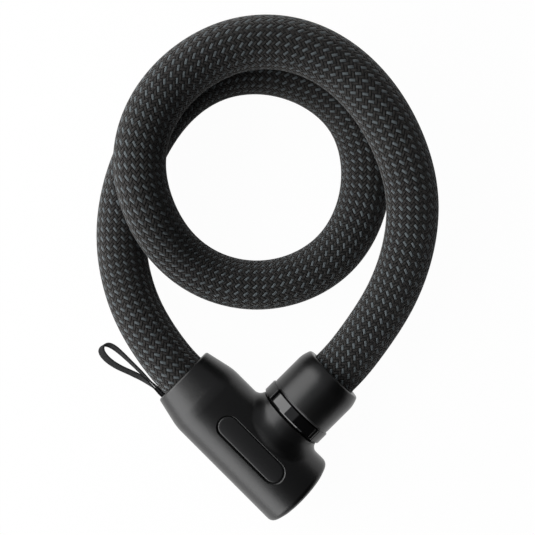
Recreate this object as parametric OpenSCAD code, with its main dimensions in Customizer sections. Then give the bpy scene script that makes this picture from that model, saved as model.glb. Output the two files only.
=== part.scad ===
// Armoured cable lock, coiled and plugged into itself: a steel-shelled cable in a braided
// sleeve, a T-shaped lock body with a key at its end, and a plug that a sliding plate holds.
// Lengths are in millimetres. +Z is up, and the origin is on the surface that the lock lies
// on, under its middle. The lock's own frame has x along the body towards the key, y along
// the neck towards the plug, and its origin where those two axes cross.

/* [Cable] */
// Outer diameter of the braided sleeve
cable_d = 24.6; // [23.6:0.1:25.2]
// Thickness of the braided sleeve
sleeve_wall = 1.6; // [1:0.1:1.8]
// Sleeve held inside the mouth and inside the ferrule
sleeve_insert = 12; // [8:0.5:13]
// Radial play of the hardened shells in the sleeve
armour_play = 1.9; // [1.5:0.1:2.4]
// Step from a shell's barrel down to its ball
ball_step = 1.8; // [1.5:0.1:2]
// Wall of the ball round the bore
ball_wall = 2.2; // [2:0.1:2.4]
// Distance from ball to ball
armour_pitch = 16; // [14.5:0.5:17.5]
// Radial play of the wire rope in the shells
rope_play = 1.3; // [1:0.1:1.6]
// Rope held in each crimp
rope_insert = 11; // [8:0.5:12]

/* [Lock body] */
// Outer diameter of the body
body_d = 39.4; // [38.6:0.1:42]
// Outer diameter of the cable mouth
mouth_d = 32.5; // [32:0.1:35]
// Mouth to the axis of the neck
mouth_to_neck = 51.7; // [50:0.1:58]
// Axis of the neck to the rim of the shell
neck_to_rim = 28.9; // [28.5:0.1:32]
// Length of the taper behind the mouth
taper_l = 15.5; // [12:0.5:18]
// Rounding of the shell's rim, along the body
rim_round = 2.6; // [1.5:0.1:3.2]
// Rounding of the mouth's outer edge
mouth_round = 1; // [0.4:0.1:1.4]
// Wall of the moulded shell
shell_wall = 2; // [1.8:0.1:2.3]
// How far the end cap stands out of the shell
cap_proud = 1.1; // [0.6:0.1:1.6]

/* [Neck] */
// Outer diameter of the neck
neck_d = 34.8; // [34:0.1:36.4]
// Axis of the body to the neck's face
neck_reach = 22.9; // [22.4:0.1:25]
// How far the neck's face falls away towards its top and bottom
neck_dip = 1.8; // [1:0.1:2]
// Spread of the fillet between neck and body
fillet_w = 4.5; // [3:0.1:6]
// Height of that fillet
fillet_h = 3; // [2:0.1:3]

/* [Plug] */
// Diameter of the locking plug
plug_d = 14; // [13:0.1:14.4]
// Diameter of the groove that the latch enters
groove_d = 9; // [8:0.1:9.4]
// Width of that groove
groove_w = 4; // [3.6:0.1:5]
// Plug below the axis of the body
plug_depth = 9.4; // [8.5:0.1:11]
// Wall of the collar
collar_wall = 1.08; // [0.9:0.02:1.3]
// Length of the collar, to the ferrule
collar_l = 7.3; // [6.5:0.1:9]
// How far the glossy band lies below the neck's surface
band_inset = 0.4; // [0.2:0.1:0.6]
// Thickness of that band
band_wall = 1.38; // [1:0.02:1.5]
// Half the angle of each window
window_half_angle = 53; // [40:1:60]
// Gap between the neck's face and the collar
collar_gap = 1; // [0.5:0.1:1.2]
// How far the ferrule stands out past the neck's surface
ferrule_proud = 0.1; // [0:0.05:0.3]
// Length of the ferrule
ferrule_l = 22; // [21:0.5:26]
// Rounding of the ferrule's mouth, along its axis
ferrule_round = 4.8; // [3:0.1:5]

/* [Key mechanism] */
// Distance of the cam pin from the key's axis
cam_offset = 3.5; // [3:0.1:3.6]
// Diameter of the cam pin
cam_pin_d = 4; // [3:0.1:4]
// Thickness of the latch plate
latch_t = 3; // [2.4:0.1:3.2]
// Metal left round the latch plate's hole
latch_rim = 2; // [1.6:0.1:2.2]
// Outer diameter of the key cylinder's housing
housing_d = 20; // [19:0.1:21]
// Diameter of the turning drum
drum_d = 13.2; // [12.8:0.1:13.6]
// Thickness of the cam disc
cam_disc_t = 2; // [1.6:0.1:2.2]
// Number of code discs
disc_count = 5; // [3:1:5]
// Thickness of one code disc
disc_t = 1.15; // [0.9:0.05:1.2]
// Width of the keyway
keyway_w = 2.4; // [2:0.1:2.6]
// Height of the keyway
keyway_h = 8.2; // [7:0.1:8.4]
// Diameter of the retaining pins
pin_d = 3; // [2.5:0.1:3.2]

/* [Badge] */
// Length of the bare badge
badge_l = 41; // [30:1:44]
// Width of the badge
badge_w = 11; // [8:0.5:13]
// Turn of the badge about the body, towards the neck
badge_roll = 6; // [0:1:10]
// Place of the badge's middle along the body, from the neck's axis
badge_at = -4.6; // [-8:0.1:0]

/* [Strap] */
// Width of the strap's ribbon
strap_w = 5; // [3:0.5:5.4]
// Thickness of the ribbon
strap_t = 0.9; // [0.6:0.1:1]
// Mean lean of the ribbon from upright
strap_lean = 38; // [0:2:60]
// How much more it leans on its way back, and less on its way out
strap_twist = 10; // [0:1:15]

/* [Fits] */
// Radial gap of parts that are seated in each other
seat_gap = 0.12; // [0.05:0.01:0.2]
// Radial gap of parts that turn or slide in each other
run_gap = 0.08; // [0.04:0.01:0.1]
// Gap between parts that pass without touching
free_gap = 0.3; // [0.2:0.05:0.4]

/* [Hidden] */
$fn = 72;

// Where the lock lies: the body rests on the surface, turned to this angle
lock_turn = -44.9;
lock_at = [-2.4, -86.75, body_d / 2];

// Places along the body's axis
mouth_x = -mouth_to_neck;
rim_x = neck_to_rim;
cap_x = rim_x + cap_proud;
case_end_x = rim_x - 2.3;
case_front_x = mouth_x + taper_l + 0.4;
shell_r = body_d / 2 - shell_wall;
case_r = shell_r - seat_gap;
over = 1;

// Places along the neck's axis
dip_r = (pow(neck_d / 2, 2) + pow(neck_dip, 2)) / (2 * neck_dip);
neck_floor = neck_reach - neck_dip;
neck_bore_r = neck_d / 2 - 2.2;
collar_y = neck_reach + collar_gap;
ferrule_y = collar_y + collar_l;
ferrule_end_y = ferrule_y + ferrule_l;
flange_y = collar_y + 0.4;
band_d = neck_d - 2 * band_inset;
flange_d = band_d - 2 * (band_wall + seat_gap);
collar_d = band_d + 2 * (collar_wall + seat_gap);
spigot_r = neck_bore_r - 1;
ferrule_d = neck_d + 2 * ferrule_proud;
sleeve_bore_r = cable_d / 2 + 0.4;

// The latch stands across the plug, and the cam pin carries it from one stop to the other
latch_y = cam_offset * (1 + cos(45)) / 2;
latch_travel = cam_offset * sqrt(2);
latch_hole_r = plug_d / 2 + free_gap;
latch_slot_r = groove_d / 2 + 0.2;
cam_tip_x = plug_d / 2 + 2.5;
cam_x = cam_tip_x + 3.6;
drum_x = cam_x + cam_disc_t;
drum_wall = 1.1;
drum_bore_r = drum_d / 2 - drum_wall;
disc_x = drum_x + 0.8;
housing_pin_x = (drum_x + case_end_x) / 2;
disc_pitch = disc_t + 0.15;
face_x = case_end_x + 0.4;
face_r = drum_d / 2 + 0.8;
shutter_barrel_d = 1.6;
shutter_x = face_x - shutter_barrel_d / 2 - free_gap;
shutter_y = keyway_w / 2 + 0.7;
shutter_pin_d = 0.9;
shutter_pin_l = 2 * (sqrt(pow(drum_bore_r, 2) - pow(shutter_y, 2)) + 0.5);

// The cable's layers
armour_d = cable_d - 2 * (sleeve_wall + armour_play);
ball_d = armour_d - 2 * ball_step;
armour_bore = ball_d - 2 * ball_wall;
rope_d = armour_bore - 2 * rope_play;

// The cable's crimps, and the pins that hold them
crimp_d = armour_d + 0.8;
crimp_y = ferrule_end_y - sleeve_insert - 3 - free_gap;
crimp_floor_y = flange_y;
crimp_l = crimp_y - crimp_floor_y;
crimp_groove_at = crimp_l - 4;
crimp_groove_r = crimp_d / 2 - pin_d * 0.7;
pin_offset = crimp_groove_r + pin_d / 2 + 0.05;

// Length of a pin that lies at x from the middle of a round piece of radius r
function pin_length(r, x) = 2 * sqrt(pow(r, 2) - pow(x + pin_d / 2, 2)) - 1;
ball_reach = sqrt(pow(ball_d / 2, 2) - pow(armour_bore / 2, 2)) + free_gap;
anchor_x = mouth_x + sleeve_insert + 3 + ball_reach;
crimp_pin_y = crimp_y - crimp_groove_at;

// Turns and points of the cable between mouth and ferrule, chosen by hand: two loops, the
// second over the first, that come down to the lock at both ends
straight = 10;
bends = [
    [-60.5, -23.5, 17], [-69, -2.5, 13.3], [-72, 20.5, 12.3], [-68, 45, 12.3],
    [-58, 68, 12.3], [-43.5, 87.5, 12.3], [-23, 100.5, 12.3], [2, 103, 12.3],
    [26, 95.5, 12.3], [45, 79.5, 12.3], [52.5, 56.5, 12.3], [50.5, 32.5, 12.3],
    [39.5, 11, 12.3], [20.5, -2.5, 12.3], [-3, -7.5, 12.3], [-26.5, -2.5, 12.3],
    [-44.5, 11, 18.6], [-54.5, 31, 33.8], [-58.5, 54.5, 39], [-51.5, 78, 38],
    [-34.5, 97, 38], [-11.5, 108.5, 38], [14, 109, 37.5], [37, 98.5, 37],
    [55, 80, 36], [67, 57.5, 33.5], [73, 35, 29.2], [71, 11, 24.8],
    [63, -11.5, 22.4], [51, -30, 20.5]];

body_dir = [cos(lock_turn), sin(lock_turn), 0];
neck_dir = [-sin(lock_turn), cos(lock_turn), 0];
mouth_at = lock_at + mouth_x * body_dir;
ferrule_at = lock_at + ferrule_end_y * neck_dir;
route = concat(
    [mouth_at + straight * body_dir, mouth_at, mouth_at - straight * body_dir],
    bends,
    [ferrule_at + straight * neck_dir, ferrule_at, ferrule_at - straight * neck_dir]);

// A smooth curve steered by the points p, at t from 0 to len(p) - 3
function spline(p, t) =
    let (i = min(floor(t), len(p) - 4), f = t - i)
    (pow(1 - f, 3) * p[i] + (3 * pow(f, 3) - 6 * f * f + 4) * p[i + 1]
        + (1 + 3 * f + 3 * f * f - 3 * pow(f, 3)) * p[i + 2] + pow(f, 3) * p[i + 3]) / 6;

// Rows of [distance run, t] along that curve, for looking up a place by its distance
function runs(p, steps) =
    let (n = (len(p) - 3) * steps, q = [for (i = [0 : n]) spline(p, i / steps)])
    [for (i = 0, s = 0; i <= n; s = s + norm(q[min(i + 1, n)] - q[i]), i = i + 1)
        [s, i / steps]];

cable_runs = runs(route, 8);
cable_l = cable_runs[len(cable_runs) - 1][0];

// The cable's middle at distance s from the mouth, running straight on past both ends
function on_cable(s) =
    s <= 0 ? mouth_at - s * body_dir :
    s >= cable_l ? ferrule_at - (s - cable_l) * neck_dir :
    spline(route, lookup(s, cable_runs));

function unit(v) = v / norm(v);
function heading(s) = unit(on_cable(s + 0.5) - on_cable(s - 0.5));

// One ring of n points about the cable at distance s
function ring(s, r, n) =
    let (side = unit(cross([0, 0, 1], heading(s))), up = cross(heading(s), side))
    [for (k = [0 : n - 1]) on_cable(s) + r * (cos(360 * k / n) * side + sin(360 * k / n) * up)];

// Faces between two rings of n points that start at points a and b
function band_faces(a, b, n) =
    [for (k = [0 : n - 1], f = [0, 1])
        let (m = (k + 1) % n)
        f == 0 ? [a + k, a + m, b + m] : [a + k, b + m, b + k]];

function flipped(faces) = [for (f = faces) [f[2], f[1], f[0]]];

// Distances of count + 1 rings from one end to the other
function stations(from, to, count) = [for (i = [0 : count]) from + (to - from) * i / count];

// A solid rope or a hollow sleeve along the cable, as one unbroken tube
module cable_rod(from, to, r, n, count) {
    at = stations(from, to, count);
    points = concat([for (s = at) each ring(s, r, n)], [on_cable(from), on_cable(to)]);
    sides = [for (i = [0 : count - 1]) each band_faces(i * n, (i + 1) * n, n)];
    start = len(at) * n;
    ends = [for (k = [0 : n - 1], e = [0, 1])
        e == 0 ? [start, (k + 1) % n, k] : [start + 1, count * n + k, count * n + (k + 1) % n]];
    polyhedron(points, flipped(concat(sides, ends)));
}

module cable_tube(from, to, r_out, r_in, n, count) {
    at = stations(from, to, count);
    inner = len(at) * n;
    points = concat([for (s = at) each ring(s, r_out, n)], [for (s = at) each ring(s, r_in, n)]);
    outside = [for (i = [0 : count - 1]) each band_faces(i * n, (i + 1) * n, n)];
    inside = [for (i = [0 : count - 1]) each band_faces(inner + i * n, inner + (i + 1) * n, n)];
    ends = concat(band_faces(inner, 0, n), band_faces(count * n, inner + count * n, n));
    polyhedron(points, flipped(concat(outside, flipped(inside), ends)));
}

// Least gap of the cable to itself, measured between places a turn or more apart
gap_step = 4;
gap_skip = 80;
middles = [for (s = [0 : gap_step : cable_l]) on_cable(s)];
self_gap = min([for (i = [0 : len(middles) - 1], j = [i + gap_skip / gap_step : 1 : len(middles) - 1])
    norm(middles[i] - middles[j])]) - cable_d;
echo("cable length between mouth and ferrule", cable_l, "least gap of the cable to itself", self_gap);

module in_lock() {
    translate(lock_at) rotate([0, 0, lock_turn]) children();
}

// Turn what stands on z = 0 so that it stands at x on the body's axis, or at y on the neck's
module along_body(x = 0) {
    translate([x, 0, 0]) rotate([0, 90, 0]) children();
}

module along_neck(y = 0) {
    translate([0, y, 0]) rotate([-90, 0, 0]) children();
}

// A straight pin or its hole, upright at x, y
module upright_pin(x, y, d, l) {
    translate([x, y, -l / 2]) cylinder(d = d, h = l);
}

// Quarter of an ellipse from [r, 0] to [r - a, b], as a profile's rounded corner
function corner(r, x, a, b, n = 6) =
    [for (i = [0 : n]) [r - a + a * cos(90 * i / n), x + b * sin(90 * i / n)]];

// Everything under the neck's dished face, or under a face that lies gap beyond it
module under_neck_face(gap = 0) {
    translate([-body_d, neck_reach - dip_r, 0]) rotate([0, 90, 0])
        cylinder(r = dip_r + gap, h = 2 * body_d, $fn = 180);
}

// Body shell ---------------------------------------------------------------------------

module body_outside() {
    along_body(mouth_x) rotate_extrude() polygon(concat(
        [[0, 0]],
        [for (i = [0 : 4]) [mouth_d / 2 - mouth_round * (1 - sin(22.5 * i)),
            mouth_round * (1 - cos(22.5 * i))]],
        [[body_d / 2 - 0.25, taper_l - 1.2], [body_d / 2, taper_l + 1.2]],
        corner(body_d / 2, rim_x - mouth_x - rim_round, shell_wall - 0.3, rim_round),
        [[0, rim_x - mouth_x]]));
}

// The body's surface, as seen from the neck's axis: its reach at distance rho and turn a
function body_reach(rho, a) = sqrt(max(0, pow(body_d / 2, 2) - pow(rho * sin(a), 2)));

// A lofted fillet: rings of a hollow quarter round, wide where neck and body meet squarely
// and narrow over the top, where they nearly run into each other
module neck_fillet() {
    turns = 48;
    steps = 6;
    sunk = 0.12;
    r = neck_d / 2;
    function spread(a) = fillet_w * pow(abs(cos(a)), 2) + 1.4;
    function rise(a) = fillet_h * (0.35 + 0.65 * pow(abs(cos(a)), 2));
    function level(a, t) =
        let (rho = r + spread(a) * (1 - cos(t)))
        [rho * cos(a), body_reach(rho, a) - sunk + (sunk + rise(a)) * (1 - sin(t)), rho * sin(a)];
    function inner(a, drop) = [(r - over) * cos(a), body_reach(r, a) + drop, (r - over) * sin(a)];
    function outer(a) =
        let (rho = r + spread(a)) [rho * cos(a), body_reach(rho, a) - over, rho * sin(a)];
    turn = [for (k = [0 : turns - 1]) 360 * k / turns];
    points = concat(
        [for (a = turn) inner(a, rise(a))],
        [for (i = [0 : steps]) each [for (a = turn) level(a, 90 * i / steps)]],
        [for (a = turn) outer(a)],
        [for (a = turn) inner(a, -3 * over)]);
    rings = steps + 4;
    polyhedron(points, flipped([for (i = [0 : rings - 1])
        each band_faces(i * turns, ((i + 1) % rings) * turns, turns)]));
}

module neck_outside() {
    intersection() {
        along_neck() cylinder(d = neck_d, h = neck_reach + over);
        under_neck_face();
    }
}

module badge_pill(grow) {
    w = badge_w + 2 * grow;
    translate([badge_at, 0, 0]) {
        for (side = [-1, 1])
            translate([side * (badge_l - badge_w) / 2, 0, 0]) cylinder(d = w, h = body_d);
        translate([-(badge_l - badge_w) / 2, -w / 2, 0])
            cube([badge_l - badge_w, w, body_d]);
    }
}

badge_recess = 1.1;
badge_sunk = 0.35;

module badge_cut() {
    rotate([-badge_roll, 0, 0]) difference() {
        badge_pill(0.35);
        along_body(mouth_x) cylinder(r = body_d / 2 - badge_recess, h = 2 * mouth_to_neck);
    }
}

strap_slot_r = cable_d / 2 + 0.4 + 2 * strap_t + 0.6;
strap_end_x = mouth_x + 5;

module strap_slot() {
    translate([mouth_x - over, -strap_slot_r, -strap_w / 2 - free_gap])
        cube([strap_end_x - mouth_x + over + free_gap, strap_slot_r, strap_w + 2 * free_gap]);
}

clamp_x = strap_end_x + free_gap;
clamp_r = cable_d / 2 + 2.2;

module body_shell() {
    color("#26262a") in_lock() difference() {
        union() {
            body_outside();
            neck_outside();
            neck_fillet();
        }
        along_body(mouth_x - over) cylinder(r = sleeve_bore_r, h = mouth_to_neck);
        along_body(clamp_x) cylinder(r = clamp_r + seat_gap, h = mouth_to_neck);
        along_body(case_front_x) cylinder(r = shell_r, h = cap_x - case_front_x + over);
        along_neck() cylinder(r = neck_bore_r, h = neck_reach + over);
        strap_slot();
        badge_cut();
    }
}

module badge_plate() {
    color("#1b1b1d") in_lock() rotate([-badge_roll, 0, 0]) intersection() {
        difference() {
            badge_pill(0);
            along_body(mouth_x) cylinder(r = body_d / 2 - badge_recess, h = 2 * mouth_to_neck);
        }
        along_body(mouth_x) cylinder(r = body_d / 2 - badge_sunk, h = 2 * mouth_to_neck);
    }
}

// Inner case, key cylinder and cap ------------------------------------------------------

neck_case_r = neck_bore_r - seat_gap;
neck_case_y = neck_floor - 0.2;
bush_d = plug_d + 4;
bush_l = 9;
latch_head = latch_hole_r + latch_rim + latch_travel;
latch_foot = latch_travel + latch_slot_r + latch_rim;
latch_back_x = -(latch_hole_r + latch_rim);
latch_front_x = cam_x - free_gap;

module latch_room() {
    translate([latch_back_x - free_gap, latch_y - latch_t / 2 - 0.15, -body_d])
        cube([cam_x - latch_back_x + free_gap, latch_t + 0.3, body_d + latch_head + free_gap]);
}

module inner_case() {
    color("#8d8f93") in_lock() difference() {
        union() {
            along_body(case_front_x) cylinder(r = case_r, h = case_end_x - case_front_x);
            along_neck() cylinder(r = neck_case_r, h = neck_case_y);
        }
        along_neck(-plug_depth - 0.8) cylinder(r = plug_d / 2 + run_gap, h = 2 * body_d);
        along_neck(neck_case_y - bush_l) cylinder(r = bush_d / 2 + seat_gap, h = body_d);
        latch_room();
        along_body(cam_tip_x - 0.4) cylinder(r = cam_offset + cam_pin_d / 2 + free_gap, h = body_d);
        along_body(cam_x - 0.2) cylinder(r = housing_d / 2 + seat_gap, h = body_d);
        along_body(case_front_x - over)
            cylinder(r = crimp_d / 2 + seat_gap, h = anchor_x + crimp_l - case_front_x + over);
        for (side = [-1, 1])
            upright_pin(anchor_x + crimp_groove_at, side * pin_offset, pin_d + 0.04, 2 * body_d);
        upright_pin(housing_pin_x, -housing_d / 2, pin_d + 0.04, 2 * body_d);
    }
}

module cylinder_housing() {
    x = drum_x + 0.3;
    color("#b79a55") in_lock() difference() {
        along_body(x) cylinder(d = housing_d, h = case_end_x - x);
        along_body(x - over) cylinder(r = drum_d / 2 + run_gap, h = body_d);
        upright_pin(housing_pin_x, -housing_d / 2, pin_d + 0.04, 2 * body_d);
        for (turn = [0, 90]) rotate([turn, 0, 0])
            translate([disc_x, drum_d / 2 - 1, -0.9]) cube([disc_count * disc_pitch, 2, 1.8]);
    }
}

module cylinder_pin() {
    color("#9a9ca0") in_lock()
        upright_pin(housing_pin_x, -housing_d / 2, pin_d, pin_length(case_r, housing_d / 2));
}

module plug_bush() {
    color("#b79a55") in_lock() along_neck(neck_case_y - bush_l) difference() {
        cylinder(d = bush_d, h = bush_l);
        translate([0, 0, -over]) cylinder(r = plug_d / 2 + run_gap, h = bush_l + 2 * over);
    }
}

module cap_profile() {
    r = shell_r - seat_gap;
    dome = 0.5;
    edge = 1.3;
    l = cap_x - case_end_x;
    polygon(concat(
        [[face_r + free_gap, 0], [r, 0], [r, l - dome - edge]],
        [for (i = [1 : 5]) [r - edge * (1 - cos(18 * i)), l - dome - edge + edge * sin(18 * i)]],
        [[face_r + free_gap + 1.2, l], [face_r + free_gap, l - 1.2]]));
}

module end_cap() {
    color("#0f0f10") in_lock() along_body(case_end_x) rotate_extrude() cap_profile();
}

// The crimp at either end of the rope: a steel barrel with a blind bore and a pin groove
module rope_crimp() {
    difference() {
        cylinder(d = crimp_d, h = crimp_l);
        translate([0, 0, -over]) cylinder(r = rope_d / 2 + 0.2, h = rope_insert + 0.5 + over);
        translate([0, 0, crimp_groove_at - pin_d / 2 - 0.05]) difference() {
            cylinder(d = crimp_d + over, h = pin_d + 0.1);
            translate([0, 0, -over]) cylinder(r = crimp_groove_r, h = pin_d + 2 * over);
        }
    }
}

module cable_anchor() {
    color("#8d8f93") in_lock() along_body(anchor_x) rope_crimp();
}

module anchor_pins() {
    color("#9a9ca0") in_lock() for (side = [-1, 1])
        upright_pin(anchor_x + crimp_groove_at, side * pin_offset, pin_d,
            pin_length(case_r, pin_offset));
}

module sleeve_clamp() {
    color("#1a1a1c") in_lock() along_body(clamp_x) difference() {
        cylinder(r = clamp_r, h = case_front_x - clamp_x - 0.2);
        translate([0, 0, -over]) cylinder(r = cable_d / 2 + 0.1, h = mouth_to_neck);
    }
}

// Cable --------------------------------------------------------------------------------

chain_start = -(sleeve_insert + 3);
chain_end = cable_l + sleeve_insert + 3;
shell_count = round((chain_end - chain_start) / armour_pitch);
shell_pitch = (chain_end - chain_start) / shell_count;
link_neck_d = ball_d - 2.2;
shoulder = 4;

// A barrel with a ball at its start and, at l, a cup for the next barrel's ball
module armour_shell(l) {
    slope = (armour_d - link_neck_d) / 3;
    difference() {
        union() {
            sphere(d = ball_d);
            cylinder(d = link_neck_d, h = shoulder + 1);
            translate([0, 0, shoulder]) cylinder(d1 = link_neck_d, d2 = armour_d, h = slope);
            translate([0, 0, shoulder + slope]) cylinder(d = armour_d, h = l - shoulder - slope);
        }
        translate([0, 0, l]) sphere(d = ball_d + 2 * free_gap);
        translate([0, 0, -ball_d]) cylinder(d = armour_bore, h = l + 2 * ball_d);
    }
}

module armour_shells() {
    color("#9ea1a6") for (i = [0 : shell_count - 1]) {
        from = on_cable(chain_start + i * shell_pitch);
        way = on_cable(chain_start + (i + 1) * shell_pitch) - from;
        l = norm(way);
        translate(from) rotate([0, acos(way[2] / l), atan2(way[1], way[0])]) armour_shell(l);
    }
}

module rope_core() {
    inside = anchor_x - mouth_x + rope_insert;
    outside = ferrule_end_y - crimp_y + rope_insert;
    color("#7d8085") cable_rod(-inside, cable_l + outside, rope_d / 2, 8, 66);
}

module braided_sleeve() {
    color("#202226") cable_tube(-sleeve_insert, cable_l + sleeve_insert, cable_d / 2,
        cable_d / 2 - sleeve_wall, 12, 72);
}

// Points that steer the strap's ribbon, in the lock's frame: out of the mouth, round, and
// back in beside its start
strap_inner_y = -(cable_d / 2 + 0.45 + strap_t / 2);
strap_outer_y = strap_inner_y - strap_t - 0.2;
strap_bends = [
    [-64, -14, 0], [-72, -14.4, -0.5], [-80, -14.8, -1.5], [-86, -15.2, -2.5],
    [-89.4, -17.4, -3], [-89.4, -22.2, -3], [-82.5, -22.2, -2.5], [-75, -20.2, -1.5],
    [-66.5, -16.4, -0.5]];
strap_step = 4;
strap_run = [for (i = [1 : -1 : -2]) strap_end_x + i * strap_step];
strap_back = [for (i = [-2 : 1]) strap_end_x + i * strap_step];
strap_route = concat(
    [for (x = strap_run) [x, strap_inner_y, 0]],
    strap_bends,
    [for (x = strap_back) [x, strap_outer_y, 0]]);

module strap_loop() {
    steps = 3;
    n = (len(strap_route) - 3) * steps;
    function place(i) = spline(strap_route, i / steps);
    function lean(i) = (strap_lean + strap_twist * (2 * i / n - 1))
        * min(1, max(0, (mouth_x - 2 - place(i)[0]) / 14));
    function section(i) =
        let (way = unit(place(i + 0.1) - place(i - 0.1)),
            side = unit(cross([0, 0, 1], way)),
            up = cross(way, side),
            wide = strap_w / 2 * (cos(lean(i)) * up + sin(lean(i)) * side),
            thick = strap_t / 2 * (cos(lean(i)) * side - sin(lean(i)) * up))
        [place(i) + wide + thick, place(i) + wide - thick,
            place(i) - wide - thick, place(i) - wide + thick];
    points = [for (i = [0 : n]) each section(min(max(i, 0.1), n - 0.1))];
    sides = [for (i = [0 : n - 1]) each band_faces(4 * i, 4 * i + 4, 4)];
    ends = [[1, 0, 2], [2, 0, 3], [4 * n, 4 * n + 1, 4 * n + 2], [4 * n, 4 * n + 2, 4 * n + 3]];
    color("#17181a") in_lock() polyhedron(points, concat(sides, ends));
}

// Plug ---------------------------------------------------------------------------------

screw_r = crimp_d / 2 + 2.4;
screw_y = crimp_y - 1;

module locking_plug() {
    r = plug_d / 2;
    nose = 2.4;
    color("#a4a7ab") in_lock() difference() {
        along_neck() rotate_extrude() polygon([
            [0, -plug_depth], [r - nose, -plug_depth], [r, -plug_depth + nose],
            [r, latch_y - groove_w / 2], [groove_d / 2, latch_y - groove_w / 2],
            [groove_d / 2, latch_y + groove_w / 2], [r, latch_y + groove_w / 2],
            [r, neck_floor + 0.2], [spigot_r, neck_floor + 0.2], [spigot_r, flange_y],
            [flange_d / 2, flange_y], [flange_d / 2, ferrule_y], [screw_r, ferrule_y],
            [screw_r, screw_y], [0, screw_y]]);
        along_neck(crimp_floor_y) cylinder(r = crimp_d / 2 + seat_gap, h = body_d);
        for (side = [-1, 1]) upright_pin(side * pin_offset, crimp_pin_y, pin_d + 0.04, 2 * body_d);
    }
}

module plug_seal() {
    color("#0b0b0c") in_lock() along_neck(neck_floor + 0.4) difference() {
        cylinder(r = neck_bore_r - seat_gap, h = flange_y - neck_floor - 0.6);
        translate([0, 0, -over]) cylinder(r = spigot_r + 0.02, h = body_d);
    }
}

module marker_band() {
    color("#050505") in_lock() difference() {
        along_neck(neck_floor) cylinder(d = band_d, h = ferrule_y - neck_floor - 0.05);
        along_neck(neck_floor - over) cylinder(r = flange_d / 2 + seat_gap, h = body_d);
        under_neck_face(collar_gap);
    }
}

module plug_collar() {
    color("#2a2b2e") in_lock() difference() {
        along_neck(collar_y - neck_dip) rotate_extrude() polygon(concat(
            [[band_d / 2 + seat_gap, 0], [collar_d / 2, 0]],
            [[collar_d / 2, neck_dip + collar_l - 0.5], [collar_d / 2 - 0.5, neck_dip + collar_l - 0.05]],
            [[band_d / 2 + seat_gap, neck_dip + collar_l - 0.05]]));
        under_neck_face(collar_gap);
        for (side = [-1, 1]) window_cut(side);
    }
}

// A wedge from the neck's axis that opens the collar's top or bottom
module window_cut(side) {
    far = collar_d;
    along_neck(collar_y - 2 * neck_dip) linear_extrude(neck_dip * 2 + collar_l - 0.9)
        polygon([[0, 0], [far * sin(window_half_angle), side * far * cos(window_half_angle)],
            [0, side * far * 1.5],
            [-far * sin(window_half_angle), side * far * cos(window_half_angle)]]);
}

module plug_ferrule() {
    r = ferrule_d / 2;
    lip = sleeve_bore_r + 0.3;
    color("#26262a") in_lock() along_neck(ferrule_y) difference() {
        rotate_extrude() polygon(concat(
            [[0, 0], [r - 0.3, 0], [r, 0.3]],
            corner(r, ferrule_l - ferrule_round, r - lip, ferrule_round, 8),
            [[0, ferrule_l]]));
        translate([0, 0, crimp_y - ferrule_y]) cylinder(r = sleeve_bore_r, h = ferrule_l);
        translate([0, 0, -over]) cylinder(r = screw_r + seat_gap, h = ferrule_l);
    }
}

module plug_crimp() {
    color("#8d8f93") in_lock() along_neck(crimp_y) mirror([0, 0, 1]) rope_crimp();
}

module crimp_pins() {
    color("#9a9ca0") in_lock() for (side = [-1, 1])
        upright_pin(side * pin_offset, crimp_pin_y, pin_d, pin_length(flange_d / 2, pin_offset));
}

// Key drum and latch ----------------------------------------------------------------------

module cam_disc() {
    color("#8d8f93") in_lock() {
        along_body(cam_x) cylinder(d = housing_d - 1.2, h = cam_disc_t - 0.05);
        rotate([-45, 0, 0]) translate([0, cam_offset, 0])
            along_body(cam_tip_x) cylinder(d = cam_pin_d, h = cam_x - cam_tip_x + 0.5);
    }
}

module keyway(x, l, w, h) {
    translate([x, -w / 2, -h / 2]) cube([l, w, h]);
}

module key_drum() {
    color("#b79a55") in_lock() difference() {
        along_body(drum_x) cylinder(d = drum_d, h = face_x - drum_x - 0.02);
        along_body(disc_x - 0.15) cylinder(r = drum_bore_r, h = body_d);
        translate([disc_x - 0.1, drum_bore_r - 1, -0.95])
            cube([disc_count * disc_pitch + 0.1, 3, 1.9]);
        upright_pin(shutter_x, shutter_y, shutter_pin_d + 0.04, shutter_pin_l + 0.1);
    }
}

module code_discs() {
    color("#c9b06a") in_lock() for (i = [0 : disc_count - 1]) difference() {
        along_body(disc_x + i * disc_pitch) cylinder(r = drum_bore_r - seat_gap, h = disc_t);
        keyway(disc_x - over, body_d, keyway_w + 0.2, keyway_h + 0.2);
        translate([disc_x - over, drum_bore_r - 1.5, -0.95]) cube([body_d, 3, 1.9]);
    }
}

module side_bar() {
    color("#9a9ca0") in_lock() translate([disc_x, drum_bore_r - 1.35, -0.8])
        cube([disc_count * disc_pitch - 0.1, drum_wall + 1.2, 1.6]);
}

module drum_face() {
    color("#b5b7ba") in_lock() difference() {
        along_body(face_x) rotate_extrude() polygon([
            [0, 0], [face_r, 0], [face_r, 1.5], [face_r - 0.4, 1.9], [0, 1.9]]);
        keyway(face_x - over, body_d, keyway_w, keyway_h);
    }
}

module shutter_pin() {
    color("#9a9ca0") in_lock() upright_pin(shutter_x, shutter_y, shutter_pin_d, shutter_pin_l);
}

module keyhole_shutter() {
    h = keyway_h + 0.5;
    reach = shutter_y + keyway_w / 2 + 0.35;
    color("#3a3b3e") in_lock() difference() {
        union() {
            upright_pin(shutter_x, shutter_y, shutter_barrel_d, h);
            translate([shutter_x - 0.3, shutter_y - reach, -h / 2]) cube([0.6, reach, h]);
        }
        upright_pin(shutter_x, shutter_y, shutter_pin_d + 2 * run_gap, 2 * h);
    }
}

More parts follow.
